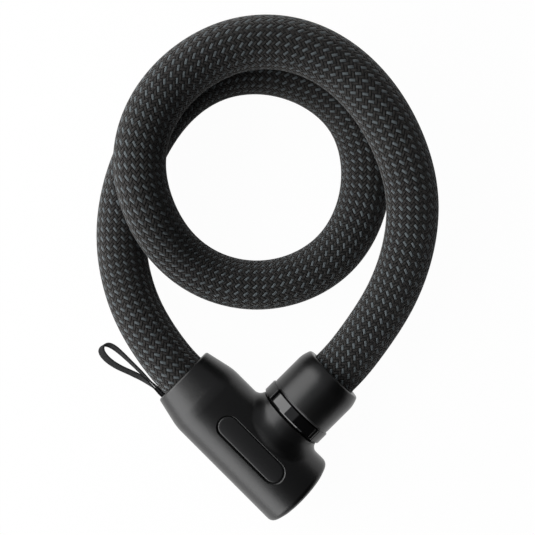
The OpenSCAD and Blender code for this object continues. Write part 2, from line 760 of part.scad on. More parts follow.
module latch_plate() {
    color("#a4a7ab") in_lock() difference() {
        intersection() {
            translate([latch_back_x, latch_y - latch_t / 2, -latch_foot])
                cube([latch_front_x - latch_back_x, latch_t, latch_foot + latch_head - latch_travel]);
            along_body(-body_d) cylinder(r = latch_foot + 1.6, h = 2 * body_d);
        }
        along_neck(-body_d) cylinder(r = latch_hole_r, h = 2 * body_d);
        translate([0, 0, -latch_travel])
            along_neck(-body_d) cylinder(r = latch_slot_r, h = 2 * body_d);
        translate([-latch_slot_r, -body_d, -latch_travel])
            cube([2 * latch_slot_r, 2 * body_d, latch_travel]);
        translate([cam_tip_x - 0.3, 0, -latch_travel / 2 - cam_pin_d / 2 - 0.2])
            cube([body_d, body_d, cam_pin_d + 0.4]);
    }
}

body_shell();
badge_plate();
inner_case();
end_cap();
cylinder_housing();
cylinder_pin();
plug_bush();
cable_anchor();
anchor_pins();
sleeve_clamp();
rope_core();
armour_shells();
braided_sleeve();
strap_loop();
locking_plug();
plug_seal();
marker_band();
plug_collar();
plug_ferrule();
plug_crimp();
crimp_pins();
cam_disc();
key_drum();
code_discs();
side_bar();
drum_face();
shutter_pin();
latch_plate();
keyhole_shutter();
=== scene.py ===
"""An armoured cable lock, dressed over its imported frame. Metres, +Z up."""
import math

import bmesh
import bpy
import numpy as np
from mathutils import Matrix, Vector


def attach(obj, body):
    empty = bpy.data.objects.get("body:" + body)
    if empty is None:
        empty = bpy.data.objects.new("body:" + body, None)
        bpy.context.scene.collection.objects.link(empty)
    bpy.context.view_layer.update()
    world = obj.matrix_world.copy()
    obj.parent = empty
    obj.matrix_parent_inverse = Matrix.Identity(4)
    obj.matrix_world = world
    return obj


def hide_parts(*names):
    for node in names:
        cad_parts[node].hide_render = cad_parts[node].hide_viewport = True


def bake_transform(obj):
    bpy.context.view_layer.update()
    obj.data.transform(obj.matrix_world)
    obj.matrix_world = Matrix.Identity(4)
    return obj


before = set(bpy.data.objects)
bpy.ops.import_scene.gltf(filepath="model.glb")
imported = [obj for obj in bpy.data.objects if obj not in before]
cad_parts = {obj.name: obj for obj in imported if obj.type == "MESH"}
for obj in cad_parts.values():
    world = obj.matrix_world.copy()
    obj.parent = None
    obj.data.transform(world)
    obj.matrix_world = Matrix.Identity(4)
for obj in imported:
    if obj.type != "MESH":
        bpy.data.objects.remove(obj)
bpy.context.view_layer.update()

MM = 0.001

# The lock's own frame, in millimetres: x along the body towards the key, y along the neck
# towards the plug, origin where the two axes cross
TURN = math.radians(-44.9)
BODY_DIR = np.array([math.cos(TURN), math.sin(TURN), 0.0])
NECK_DIR = np.array([-math.sin(TURN), math.cos(TURN), 0.0])
UP = np.array([0.0, 0.0, 1.0])
LOCK_AT = np.array([-2.4, -86.75, 19.7])

# Body, from the cable's mouth, where it widens by WIDENING for each millimetre, to the key end
BODY_R = 19.7
MOUTH_X = -51.7
MOUTH_R = 16.25
WIDENING = 0.2238
KEY_END_X = 28.9

# Neck; its face is a little rounded, and falls away by NECK_DIP at its top and bottom
NECK_R = 17.4
NECK_REACH = 22.9
NECK_DIP = 0.1
NECK_FACE_R = (NECK_R ** 2 + NECK_DIP ** 2) / (2 * NECK_DIP)

# Plug: glossy band, collar and ferrule, with places along the neck
BAND_R = 17.0
BAND_Y, BAND_END = 23.75, 29.6
COLLAR_R = 18.2
LUG_END = RING_Y = 30.1
FERRULE_R = 17.5
FERRULE_Y, FERRULE_END = 31.2, 53.2

# Cable
CABLE_R = 12.3
CABLE_INSERT = 12.0
BORE_R = 12.7


def to_row(p):
    """Points in the lock's frame, in millimetres, as points in the row frame, in metres."""
    p = np.asarray(p, float)
    return (LOCK_AT + p[..., 0:1] * BODY_DIR + p[..., 1:2] * NECK_DIR + p[..., 2:3] * UP) * MM


def to_lock(p):
    """The other way round."""
    q = np.asarray(p, float) / MM - LOCK_AT
    return np.stack([q @ BODY_DIR, q @ NECK_DIR, q @ UP], axis=-1)


def unit(v):
    return v / np.linalg.norm(v, axis=-1, keepdims=True)


def ease(value, low, high):
    """0 below low, 1 above high and smooth between them."""
    t = np.clip((value - low) / (high - low), 0, 1)
    return t * t * (3 - 2 * t)


def add_mesh(name, points, faces, uvs=None):
    """A smooth mesh object; uvs, if given, has one pair for each corner of each face."""
    mesh = bpy.data.meshes.new(name)
    mesh.from_pydata([tuple(map(float, p)) for p in points], [],
                     [tuple(map(int, f)) for f in faces])
    if uvs is not None:
        layer = mesh.uv_layers.new(name="lay")
        layer.data.foreach_set("uv", np.asarray(uvs, np.float32).ravel())
    mesh.validate()
    mesh.polygons.foreach_set("use_smooth", [True] * len(mesh.polygons))
    piece = bpy.data.objects.new(name, mesh)
    bpy.context.scene.collection.objects.link(piece)
    return piece


def seat(piece, body, node):
    """Puts a finished piece on its body, in place of the node."""
    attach(piece, body)
    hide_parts(node)
    return piece


def seat_along_cable(piece, node):
    """Puts a finished piece that runs along the cable, between the body and the plug, in place
    of the node, where it lies and on no body.
    """
    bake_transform(piece)
    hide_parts(node)
    return piece


# Camera ---------------------------------------------------------------------------------

CAMERA_AIM = Vector((0.0025, 0.003, 0.015))
CAMERA_BACK = Vector((0.03, 0.02, 1.0)).normalized()
CAMERA_DISTANCE = 0.397
SENSOR_WIDTH = 36
LENS_PER_WIDTH = 800 / 535


def add_camera():
    """Looks down on the lock, almost straight."""
    right = Vector((0, 1, 0)).cross(CAMERA_BACK).normalized()
    axes = Matrix((right, CAMERA_BACK.cross(right), CAMERA_BACK)).transposed()
    data = bpy.data.cameras.new("camera")
    data.sensor_width = SENSOR_WIDTH
    data.lens = SENSOR_WIDTH * LENS_PER_WIDTH
    data.clip_start, data.clip_end = 0.01, 20
    camera = bpy.data.objects.new("camera", data)
    at = CAMERA_AIM + CAMERA_BACK * CAMERA_DISTANCE
    camera.matrix_world = Matrix.Translation(at) @ axes.to_4x4()
    bpy.context.scene.collection.objects.link(camera)
    bpy.context.scene.camera = camera


add_camera()

# Cable ----------------------------------------------------------------------------------

STRAIGHT = 10
MOUTH = LOCK_AT + MOUTH_X * BODY_DIR
FERRULE = LOCK_AT + FERRULE_END * NECK_DIR
BENDS = [
    (-60.5, -23.5, 17), (-69, -2.5, 13.3), (-72, 20.5, 12.3), (-68, 45, 12.3),
    (-58, 68, 12.3), (-43.5, 87.5, 12.3), (-23, 100.5, 12.3), (2, 103, 12.3),
    (26, 95.5, 12.3), (45, 79.5, 12.3), (52.5, 56.5, 12.3), (50.5, 32.5, 12.3),
    (39.5, 11, 12.3), (20.5, -2.5, 12.3), (-3, -7.5, 12.3), (-26.5, -2.5, 12.3),
    (-44.5, 11, 18.6), (-54.5, 31, 33.8), (-58.5, 54.5, 39), (-51.5, 78, 38),
    (-34.5, 97, 38), (-11.5, 108.5, 38), (14, 109, 37.5), (37, 98.5, 37),
    (55, 80, 36), (67, 57.5, 33.5), (73, 35, 29.2), (71, 11, 24.8),
    (63, -11.5, 22.4), (51, -30, 20.5)]
ROUTE = np.array(
    [MOUTH + STRAIGHT * BODY_DIR, MOUTH, MOUTH - STRAIGHT * BODY_DIR] + BENDS
    + [FERRULE + STRAIGHT * NECK_DIR, FERRULE, FERRULE - STRAIGHT * NECK_DIR])


def spline(p, t):
    """Points of the smooth curve that the points p steer, at each t from 0 to len(p) - 3."""
    t = np.asarray(t, float)
    i = np.minimum(t.astype(int), len(p) - 4)
    f = (t - i)[:, None]
    return ((1 - f) ** 3 * p[i] + (3 * f ** 3 - 6 * f ** 2 + 4) * p[i + 1]
            + (1 + 3 * f + 3 * f ** 2 - 3 * f ** 3) * p[i + 2] + f ** 3 * p[i + 3]) / 6


def lengths_along(points):
    """How far along its run each point lies."""
    return np.r_[0, np.cumsum(np.linalg.norm(np.diff(points, axis=0), axis=1))]


RUN_T = np.linspace(0, len(ROUTE) - 3, 4000)
RUN = lengths_along(spline(ROUTE, RUN_T))
CABLE_LENGTH = RUN[-1]


def on_cable(s):
    """Middle of the cable at distances s from the mouth, straight on past both ends."""
    s = np.asarray(s, float)
    p = spline(ROUTE, np.interp(s, RUN, RUN_T))
    before = np.minimum(s, 0)[:, None]
    after = np.maximum(s - CABLE_LENGTH, 0)[:, None]
    return p - before * BODY_DIR - after * NECK_DIR


def rings(middles, ways, radii, sides):
    """Rings of points about the middles, which start beside them and go round the ways."""
    side = unit(np.cross(UP, ways))
    up = np.cross(ways, side)
    a = np.linspace(0, 2 * np.pi, sides, endpoint=False)[None, :, None]
    return (middles[:, None] + radii[:, None, None]
            * (np.cos(a) * side[:, None] + np.sin(a) * up[:, None]))


def ring_faces(count, sides, closed=False):
    """Faces between neighbouring rings, and between the last and the first if closed."""
    i, k = np.meshgrid(np.arange(count if closed else count - 1), np.arange(sides),
                       indexing="ij")
    j, m = (i + 1) % count, (k + 1) % sides
    return np.stack([i * sides + k, i * sides + m, j * sides + m, j * sides + k],
                    -1).reshape(-1, 4)


# The sleeve is a braid of strands that pass over two and under two, 40 each way round it
BRAID_COLUMNS = 20
BRAID_PITCH = 4.41
SLEEVE_SIDES = 96
SLEEVE_RINGS = 880
SLEEVE_WALL = 1.6
SLEEVE_HEM = 3.0
PATH_POINTS = 260


def add_sleeve():
    """The braided sleeve, turned in a little way at both ends."""
    s = np.linspace(-CABLE_INSERT, CABLE_LENGTH + CABLE_INSERT, SLEEVE_RINGS)
    runs = np.r_[s[0] + SLEEVE_HEM, s[0], s, s[-1], s[-1] - SLEEVE_HEM]
    inner = CABLE_R - SLEEVE_WALL
    radii = np.r_[inner, inner, np.full(len(s), CABLE_R), inner, inner]
    ways = unit(on_cable(runs + 0.5) - on_cable(runs - 0.5))
    points = rings(on_cable(runs), ways, radii, SLEEVE_SIDES).reshape(-1, 3) * MM
    faces = ring_faces(len(runs), SLEEVE_SIDES)
    i, k = np.divmod(np.arange(len(faces)), SLEEVE_SIDES)
    u = np.stack([k, k + 1, k + 1, k], -1) / SLEEVE_SIDES * BRAID_COLUMNS
    v = runs[np.stack([i, i, i + 1, i + 1], -1)] / BRAID_PITCH
    sleeve = add_mesh("sleeve", points, faces, np.stack([u, v], -1))
    seat_along_cable(sleeve, "braided_sleeve")
    path = on_cable(np.linspace(0, CABLE_LENGTH, PATH_POINTS)) * MM
    return sleeve


def add_hidden_layer(name, node):
    """A copy of one of the cable's inner layers, which has to bend with the sleeve."""
    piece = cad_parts[node].copy()
    piece.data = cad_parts[node].data.copy()
    piece.name = name
    for key in list(piece.keys()):
        if key.startswith("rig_"):
            del piece[key]
    piece.parent = None
    bpy.context.scene.collection.objects.link(piece)
    return seat_along_cable(piece, node)


sleeve = add_sleeve()
shells = add_hidden_layer("shells", "armour_shells")
rope = add_hidden_layer("rope", "rope_core")

# Body shell -----------------------------------------------------------------------------

# Roundings of the shell's edges; the one at the key end reaches further along the body
TAPER_EDGE, MOUTH_EDGE, KEY_EDGE, NECK_EDGE, INNER_EDGE = 0.6, 0.9, 1.7, 0.35, 0.3
KEY_EDGE_SQUEEZE = 0.65
# The fillet between body and neck fades in from the neck's middle
FILLET, FILLET_FROM, FILLET_FULL = 4.2, 6, 12
# Hollow: the cable's bore widens inside the mouth, the neck has its own, and the strap a slot
WIDE_FROM, WIDE_FULL, WIDE_BY = -44, -36, 4.8
NECK_BORE_R = 15.2
SLOT_Y, SLOT_HALF_W, SLOT_HALF_H, SLOT_END_X = -13.0, 2.3, 3.0, -46.4
# The badge's place, rolled a little towards the neck's side
RECESS_AT, RECESS_L, RECESS_W, RECESS_DEPTH = -4.83, 40.4, 10.4, 1.2
RECESS_BEVEL, RECESS_LEAN = 0.5, math.radians(45)
BADGE_ROLL = math.radians(4.85)


def round_both(a, b, k):
    """Distance to what lies inside both a and b, with an edge of radius k."""
    return (np.minimum(-k, np.maximum(a, b))
            + np.hypot(np.maximum(a + k, 0), np.maximum(b + k, 0)))


def round_either(a, b, k):
    """Distance to what lies inside a or b, with a fillet of radius k."""
    return (np.maximum(k, np.minimum(a, b))
            - np.hypot(np.maximum(k - a, 0), np.maximum(k - b, 0)))


def past_face(y, z):
    """How far a point lies past the neck's face."""
    return np.hypot(y - NECK_REACH + NECK_FACE_R, z) - NECK_FACE_R


def plain_shell(p):
    """How far each point lies outside the shell, in the lock's frame, before the recess."""
    x, y, z = p.T
    r, neck_r = np.hypot(y, z), np.hypot(x, z)
    taper = (r - MOUTH_R - (x - MOUTH_X) * WIDENING) / math.hypot(1, WIDENING)
    body = round_both(taper, r - BODY_R, TAPER_EDGE)
    body = round_both(body, MOUTH_X - x, MOUTH_EDGE)
    body = round_both(body, (x - KEY_END_X) * KEY_EDGE_SQUEEZE, KEY_EDGE)
    neck = np.maximum(round_both(neck_r - NECK_R, past_face(y, z), NECK_EDGE), -y)
    outside = round_either(body, neck, FILLET * ease(y, FILLET_FROM, FILLET_FULL))
    wide = WIDE_BY * np.clip((x - WIDE_FROM) / (WIDE_FULL - WIDE_FROM), 0, 1)
    hollow = np.minimum(r - BORE_R - wide, np.maximum(neck_r - NECK_BORE_R, -y))
    slot = np.maximum(np.abs(z) - SLOT_HALF_H, np.abs(y - SLOT_Y) - SLOT_HALF_W)
    slot = np.maximum(slot, x - SLOT_END_X)
    return round_both(outside, -np.minimum(hollow, slot), INNER_EDGE)


def shell_distance(p):
    """The same with the badge's place and its bevel cut out."""
    x, y, z = p.T
    r = np.hypot(y, z)
    c, s = math.cos(BADGE_ROLL), math.sin(BADGE_ROLL)
    across, out = y * c - z * s, y * s + z * c
    beyond = np.maximum(np.abs(x - RECESS_AT) - (RECESS_L - RECESS_W) / 2, 0)
    pill = np.hypot(beyond, across) - RECESS_W / 2
    bevel = ((pill - RECESS_BEVEL) * math.sin(RECESS_LEAN)
             - (r - BODY_R) * math.cos(RECESS_LEAN))
    recess = np.maximum(np.maximum(np.minimum(pill, bevel), BODY_R - RECESS_DEPTH - r), -out)
    return np.maximum(plain_shell(p), -recess)


def slope_of(distance, p, step):
    """Which way, and how fast, the distance grows at each point."""
    steps = np.eye(3) * step
    return np.stack([distance(p + d) - distance(p - d) for d in steps], -1) / (2 * step)


def apply_modifiers(piece):
    """Makes what the modifiers give the piece's own mesh."""
    bpy.context.view_layer.update()
    built = piece.evaluated_get(bpy.context.evaluated_depsgraph_get())
    made = bpy.data.meshes.new_from_object(built)
    piece.modifiers.clear()
    piece.data = made


def sharpened(piece):
    """Keeps the edges that turn by more than a rounding's small steps crisp."""
    piece.data.set_sharp_from_angle(angle=math.radians(24))
    return piece


TURNED_SIDES = 224


def lathe(name, profile, way):
    """Turns a closed profile of (radius, place) about the body's axis or the neck's."""
    r, at = np.array(profile, float).T
    a = np.linspace(0, 2 * np.pi, TURNED_SIDES, endpoint=False)
    c, s = r[:, None] * np.cos(a), r[:, None] * np.sin(a)
    along = np.repeat(at[:, None], TURNED_SIDES, 1)
    turned = {"body": [along, c, s], "neck": [s, along, c]}[way]
    points = to_row(np.stack(turned, -1).reshape(-1, 3))
    return sharpened(add_mesh(name, points, ring_faces(len(profile), TURNED_SIDES, closed=True)))


def arc(r, at, size, start, end, count, length=None):
    """Points of a rounded corner about (r, at), from angle start to end, measured from
    straight out; its length along the axis is its size, unless given."""
    a = np.radians(np.linspace(start, end, count))
    return list(zip(r + size * np.cos(a), at + (length or size) * np.sin(a)))


PILL_SIDES = 192


def pill_sheet(name, levels, closed, shift=(0, 0)):
    """Rings inside the recess's outline at (inset, height over the body) levels, filled at
    the last, and at the first too if closed."""
    n, half = PILL_SIDES, (RECESS_L - RECESS_W) / 2
    a = (np.arange(n) + 0.5) * 2 * np.pi / n
    c, s = math.cos(BADGE_ROLL), math.sin(BADGE_ROLL)
    points = []
    for inset, height in levels:
        w = RECESS_W / 2 - inset
        x = RECESS_AT + shift[0] + np.sign(np.cos(a)) * half + w * np.cos(a)
        across = shift[1] + w * np.sin(a)
        out = np.sqrt((BODY_R + height) ** 2 - across ** 2)
        points.append(np.stack([x, across * c + out * s, out * c - across * s], -1))
    faces = ring_faces(len(levels), n).tolist()
    # Each rung is a strip from one side of a ring to the other
    rungs = [[k % n, (k + 1) % n, n // 2 - 2 - k, n // 2 - 1 - k]
             for k in range(-n // 4, n // 4 - 1)]
    faces += [[(len(levels) - 1) * n + k % n for k in rung] for rung in rungs]
    if closed:
        faces += [[k % n for k in rung[::-1]] for rung in rungs]
    return add_mesh(name, to_row(np.concatenate(points)), faces)


def take_in(whole, piece):
    """Moves a piece's faces into the whole."""
    whole.from_mesh(piece.data)
    bpy.data.objects.remove(piece)


def fill_out(shell):
    """Closes the badge's place, so that the shell can be drawn without it and then cut, and
    brings the neck's rim out to its full reach."""
    rim_r, rim_y = (NECK_BORE_R + 0.1, NECK_R - 0.1), (20, NECK_REACH - 0.5)
    whole = bmesh.new()
    whole.from_mesh(shell.data)
    take_in(whole, pill_sheet("filler", [(-0.8, 0.3), (-0.8, -1.6)], True))
    take_in(whole, lathe("rim", [(rim_r[0], rim_y[0]), (rim_r[1], rim_y[0]),
                                 (rim_r[1], rim_y[1]), (rim_r[0], rim_y[1])], "neck"))
    whole.to_mesh(shell.data)
    whole.free()


def cut_recess(shell):
    """Sinks the badge's place into the shell, with a fine bevel round its edge."""
    steep, above, long_edge = math.tan(RECESS_LEAN), 1, 5
    cutter = pill_sheet("cutter", [(-RECESS_BEVEL - above, above * steep),
                                   (0, -RECESS_BEVEL * steep), (0, -RECESS_DEPTH)], True)
    whole = bmesh.new()
    whole.from_mesh(cutter.data)
    edges = [e for e in whole.edges if e.calc_length() > long_edge * MM]
    bmesh.ops.subdivide_edges(whole, edges=edges, cuts=40, use_grid_fill=True)
    whole.to_mesh(cutter.data)
    whole.free()
    cutter.data.flip_normals()
    cut = shell.modifiers.new("recess", "BOOLEAN")
    cut.operation, cut.solver, cut.object = "DIFFERENCE", "MANIFOLD", cutter
    apply_modifiers(shell)
    bpy.data.objects.remove(cutter)


def shade_by(piece, distance):
    """Gives each corner of each face the slope of the distance beside it as its normal."""
    mesh = piece.data
    corner = np.empty(len(mesh.loops), np.int32)
    mesh.loops.foreach_get("vertex_index", corner)
    count = np.empty(len(mesh.polygons), np.int32)
    mesh.polygons.foreach_get("loop_total", count)
    co, middle = np.empty(len(mesh.vertices) * 3), np.empty(len(mesh.polygons) * 3)
    mesh.vertices.foreach_get("co", co)
    mesh.polygons.foreach_get("center", middle)
    inward = 0.1
    beside = ((1 - inward) * co.reshape(-1, 3)[corner]
              + inward * np.repeat(middle.reshape(-1, 3), count, axis=0))
    g = unit(slope_of(distance, to_lock(beside), 0.005))
    normals = g[:, 0:1] * BODY_DIR + g[:, 1:2] * NECK_DIR + g[:, 2:3] * UP
    mesh.polygons.foreach_set("use_smooth", [True] * len(mesh.polygons))
    mesh.normals_split_custom_set(normals.tolist())


SHELL_GRAIN = 0.45
DRAWS = 8
LONGEST_DRAW = 1.5 * SHELL_GRAIN
LEAST_SLOPE = 0.2


def add_shell():
    """A fine copy of the moulded shell, drawn onto its rounded surface and then cut."""
    shell = bpy.data.objects.new("shell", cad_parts["body_shell"].data.copy())
    bpy.context.scene.collection.objects.link(shell)
    shell.data.materials.clear()
    fill_out(shell)
    remesh = shell.modifiers.new("remesh", "REMESH")
    remesh.mode = "VOXEL"
    remesh.voxel_size = SHELL_GRAIN * MM
    apply_modifiers(shell)
    co = np.empty(len(shell.data.vertices) * 3, np.float32)
    shell.data.vertices.foreach_get("co", co)
    p = to_lock(co.reshape(-1, 3))
    for _ in range(DRAWS):
        g = slope_of(plain_shell, p, 0.02)
        steepness = np.maximum((g * g).sum(1, keepdims=True), LEAST_SLOPE)
        move = plain_shell(p)[:, None] * g / steepness
        far = np.maximum(np.linalg.norm(move, axis=1, keepdims=True), 1e-9)
        p = p - move * np.minimum(1, LONGEST_DRAW / far)
    shell.data.vertices.foreach_set("co", to_row(p).astype(np.float32).ravel())
    cut_recess(shell)
    shade_by(shell, shell_distance)
    return seat(shell, "lock_body", "body_shell")


def add_badge():
    """A bare pill-shaped plate with a rounded edge, a little nearer the neck's side."""
    edge = [(0.38, -1.15), (0.38, -0.62), (0.42, -0.5), (0.5, -0.39), (0.62, -0.31),
            (0.78, -0.25), (0.98, -0.22), (1.2, -0.21)]
    flat = [(inset, -0.21) for inset in (1.6, 2, 2.5, 3, 3.5, 4, 4.5, 5, RECESS_W / 2 - 0.01)]
    badge = pill_sheet("badge", edge + flat, False, shift=(-0.1, 0.22))
    return seat(badge, "lock_body", "badge_plate")


def add_cap():
    """The cap in the key end, dished round the keyway's face."""
    inner, outer, back, front = 7.7, 17.58, 26.6, 30.0
    profile = ([(inner, back), (outer, back), (outer, 28.2)]
               + arc(outer - 1.3, 28.3, 1.3, 0, 70, 6, length=1.25)
               + [(14.5, 29.75), (12.0, 29.9), (9.6, front - 0.02), (9.1, front),
                  (8.6, front - 0.12), (inner + 0.1, front - 1.1), (inner, 28.4)])
    return seat(lathe("cap", profile, "body"), "lock_body", "end_cap")


# Plug -----------------------------------------------------------------------------------

GROOVE_DEPTH = 0.75
LUG_ROLL, HALF_WINDOW = math.radians(-5.2), math.radians(48.8)


def add_band():
    """The glossy band; its far end slopes down into a groove under the ring."""
    inner, end = 15.62, RING_Y + 0.06
    chamfer, lean = 0.52, math.radians(28)
    profile = [(inner, BAND_Y), (BAND_R - chamfer * math.tan(lean), BAND_Y),
               (BAND_R, BAND_Y + chamfer), (BAND_R, BAND_END - 0.3),
               (BAND_R - GROOVE_DEPTH, BAND_END + 0.4), (BAND_R - GROOVE_DEPTH, end),
               (inner, end)]
    return seat(lathe("band", profile, "neck"), "plug", "marker_band")


def bar_round_neck(low_r, high_r, low_y, high_y, edge, start, end):
    """Points and faces of a rounded bar that follows the neck's circle between two angles."""
    steps = 5
    turn = np.linspace(0, np.pi / 2, steps)
    near = [(start + edge * (1 - math.cos(t)) / high_r, edge * (1 - math.sin(t)))
            for t in turn]
    run = np.linspace(start + edge / high_r, end - edge / high_r, 60)[1:-1]
    far = [(start + end - a, inset) for a, inset in near[::-1]]
    stations = near + [(a, 0) for a in run] + far
    points = []
    for a, inset in stations:
        k = edge - inset + 0.01
        for across, along, at in ((1, 1, 0), (-1, 1, 90), (-1, -1, 180), (1, -1, 270)):
            middle_r = (high_r if across > 0 else low_r) - across * (inset + k)
            middle_y = (high_y if along > 0 else low_y) - along * (inset + k)
            for t in np.radians(np.linspace(at, at + 90, steps)):
                r, y = middle_r + k * math.cos(t), middle_y + k * math.sin(t)
                points.append((r * math.sin(a), y, r * math.cos(a)))
    n, count = 4 * steps, len(stations)
    faces = ring_faces(count, n).tolist()
    faces += [list(range(n))[::-1], list(range((count - 1) * n, count * n))]
    return points, faces


def add_collar():
    """A ring at the ferrule, and a lug at each side between it and the neck, rolled a
    little, with a root that joins it to the ring."""
    inner, outer, ring_end = 15.7, FERRULE_R - 0.08, FERRULE_Y - 0.02
    ring = [(inner, RING_Y), (outer - 0.62, RING_Y), (outer - 0.3, RING_Y + 0.25),
            (outer - 0.01, RING_Y + 0.82), (outer, ring_end), (inner, ring_end)]
    lug = (BAND_R + 0.1, COLLAR_R, BAND_Y + 0.1, LUG_END, 0.4)
    root = (inner + 0.05, outer - 0.03, LUG_END - 1.2, ring_end - 0.03, 0.05)
    collar = lathe("collar", ring, "neck")
    whole = bmesh.new()
    whole.from_mesh(collar.data)
    for side in (0, np.pi):
        start = side + LUG_ROLL + HALF_WINDOW
        end = side + LUG_ROLL + np.pi - HALF_WINDOW
        for sizes, inset in ((lug, 0), (root, 0.02)):
            points, faces = bar_round_neck(*sizes, start + inset, end - inset)
            take_in(whole, add_mesh("bar", to_row(points), faces))
    bmesh.ops.recalc_face_normals(whole, faces=whole.faces)
    whole.to_mesh(collar.data)
    whole.free()
    collar.data.polygons.foreach_set("use_smooth", [True] * len(collar.data.polygons))
    return seat(sharpened(collar), "plug", "plug_collar")


def add_ferrule():
    """The ferrule narrows in a soft curve towards the cable and ends in a tight corner."""
    inner, drop, reach, corner = 11.7, 1.35, 6.25, 1.25
    soft = [(FERRULE_R - drop * t ** 2, FERRULE_END - 0.75 - reach * (1 - t))
            for t in np.linspace(0, 1, 11)]
    profile = (
        [(inner, FERRULE_Y), (FERRULE_R - 0.25, FERRULE_Y)]
        + arc(FERRULE_R - 0.2, FERRULE_Y + 0.2, 0.2, -60, 0, 4)
        + soft
        + arc(FERRULE_R - 2 * corner, FERRULE_END - corner, corner, 23, 90, 10)[1:]
        + [(BORE_R + 0.3, FERRULE_END), (BORE_R, FERRULE_END - 0.25), (BORE_R, 38.2),
           (inner, 38.0)])
    return seat(lathe("ferrule", profile, "neck"), "plug", "plug_ferrule")


shell = add_shell()
band = add_band()
collar = add_collar()
badge = add_badge()
ferrule = add_ferrule()
cap = add_cap()

# Strap ----------------------------------------------------------------------------------

STRAP_END = MOUTH_X + 5
STRAP_INNER, STRAP_OUTER = -13.2, -14.3
STRAP_STEPS = (4, 0, -4, -8)
STRAP = np.array(
    [(STRAP_END + x, STRAP_INNER, 0) for x in STRAP_STEPS]
    + [(-64, -13.6, 0), (-72, -13.75, -0.5), (-80, -14.15, -1.5), (-86.5, -14.8, -2.5),
       (-90.8, -17.0, -3), (-90.2, -21.4, -3), (-83.0, -22.0, -2.5), (-75, -19.5, -1.5),
       (-66.5, -15.4, -0.5)]
    + [(STRAP_END + x, STRAP_OUTER, 0) for x in STRAP_STEPS[::-1]], float)
# Half of the ribbon's section, as (place across it, height); the other half is its opposite
STRAP_HALF = [(-2.5, 0.0), (-2.42, 0.3), (-2.15, 0.42), (-1.2, 0.45), (0, 0.45), (1.2, 0.45),
              (2.15, 0.42), (2.42, 0.3)]
STRAP_RINGS = 420
# The loop lies like a slanted hoop: outside its slot, where it stands upright, the ribbon
# leans one way all along, and more on its way back
LEAN_WAY = np.array([0.26, 0.966, 0])
LEAN_OUT, LEAN_MORE_BACK = 29, 23
LEAN_FROM_X, LEAN_FULL_X = MOUTH_X - 2, MOUTH_X - 16


def add_strap():
    """The ribbon, out of the mouth, round, and back in beside its start."""
    span, step = len(STRAP) - 3, 0.01
    t = np.linspace(step, span - step, STRAP_RINGS)
    p = spline(STRAP, t)
    way = unit(spline(STRAP, t + step) - spline(STRAP, t - step))
    free = np.clip((LEAN_FROM_X - p[:, 0]) / (LEAN_FROM_X - LEAN_FULL_X), 0, 1)
    lean = (np.radians(LEAN_OUT + LEAN_MORE_BACK * ease(t / span, 0.25, 0.55)) * free)[:, None]
    across = np.cos(lean) * UP + np.sin(lean) * LEAN_WAY
    through = unit(np.cross(across, way))
    outline = STRAP_HALF + [(-w, -h) for w, h in STRAP_HALF]
    n = len(outline)
    points = np.stack([p + w * across + h * through for w, h in outline], 1)
    faces = ring_faces(len(p), n)
    i, k = np.divmod(np.arange(len(faces)), n)
    w = np.array([o[0] for o in outline])
    u = np.stack([w[k], w[(k + 1) % n], w[(k + 1) % n], w[k]], -1)
    v = lengths_along(p)[np.stack([i, i, i + 1, i + 1], -1)]
    ends = [list(range(n)), list(range((len(p) - 1) * n, len(p) * n))[::-1]]
    uvs = np.concatenate([np.stack([u, v], -1).reshape(-1, 2), np.zeros((2 * n, 2))])
    strap = add_mesh("strap", to_row(points).reshape(-1, 3), faces.tolist() + ends, uvs)
    return seat(strap, "lock_body", "strap_loop")


strap = add_strap()

# Shader maths ---------------------------------------------------------------------------


class Value:
    """What a node gives out. Arithmetic on a number adds Math nodes."""

    def __init__(self, tree, socket):
        self.tree, self.socket = tree, socket

    def math(self, operation, *terms, clamp=False):
        settings = {"operation": operation, "use_clamp": clamp}
        return self.tree.node("Math", settings, dict(enumerate(terms)))["Value"]

    def __add__(self, o): return self.math("ADD", self, o)
    def __radd__(self, o): return self.math("ADD", o, self)
    def __sub__(self, o): return self.math("SUBTRACT", self, o)
    def __rsub__(self, o): return self.math("SUBTRACT", o, self)
    def __mul__(self, o): return self.math("MULTIPLY", self, o)
    def __rmul__(self, o): return self.math("MULTIPLY", o, self)
    def __truediv__(self, o): return self.math("DIVIDE", self, o)
    def __rtruediv__(self, o): return self.math("DIVIDE", o, self)
    def __mod__(self, o): return self.math("FLOORED_MODULO", self, o)
    def __rmod__(self, o): return self.math("FLOORED_MODULO", o, self)
    def __lt__(self, o): return self.math("LESS_THAN", self, o)
    def __gt__(self, o): return self.math("GREATER_THAN", self, o)
    def floor(self): return self.math("FLOOR", self)
    def abs(self): return self.math("ABSOLUTE", self)
    def sin(self): return self.math("SINE", self)
    def clamp(self): return self.math("ADD", self, 0.0, clamp=True)
    def pow(self, o): return self.math("POWER", self, o)
    def max(self, o): return self.math("MAXIMUM", self, o)
    def min(self, o): return self.math("MINIMUM", self, o)

    def between(self, low, high):
        """0 below low, 1 above high and smooth between them."""
        return self.tree.node("MapRange", {"interpolation_type": "SMOOTHSTEP"},
                              {"Value": self, "From Min": low, "From Max": high})["Result"]


def socket_of(sockets, key):
    """One of a node's sockets, by its place or its identifier."""
    if isinstance(key, int):
        return sockets[key]
    return next(s for s in sockets if s.identifier == key)


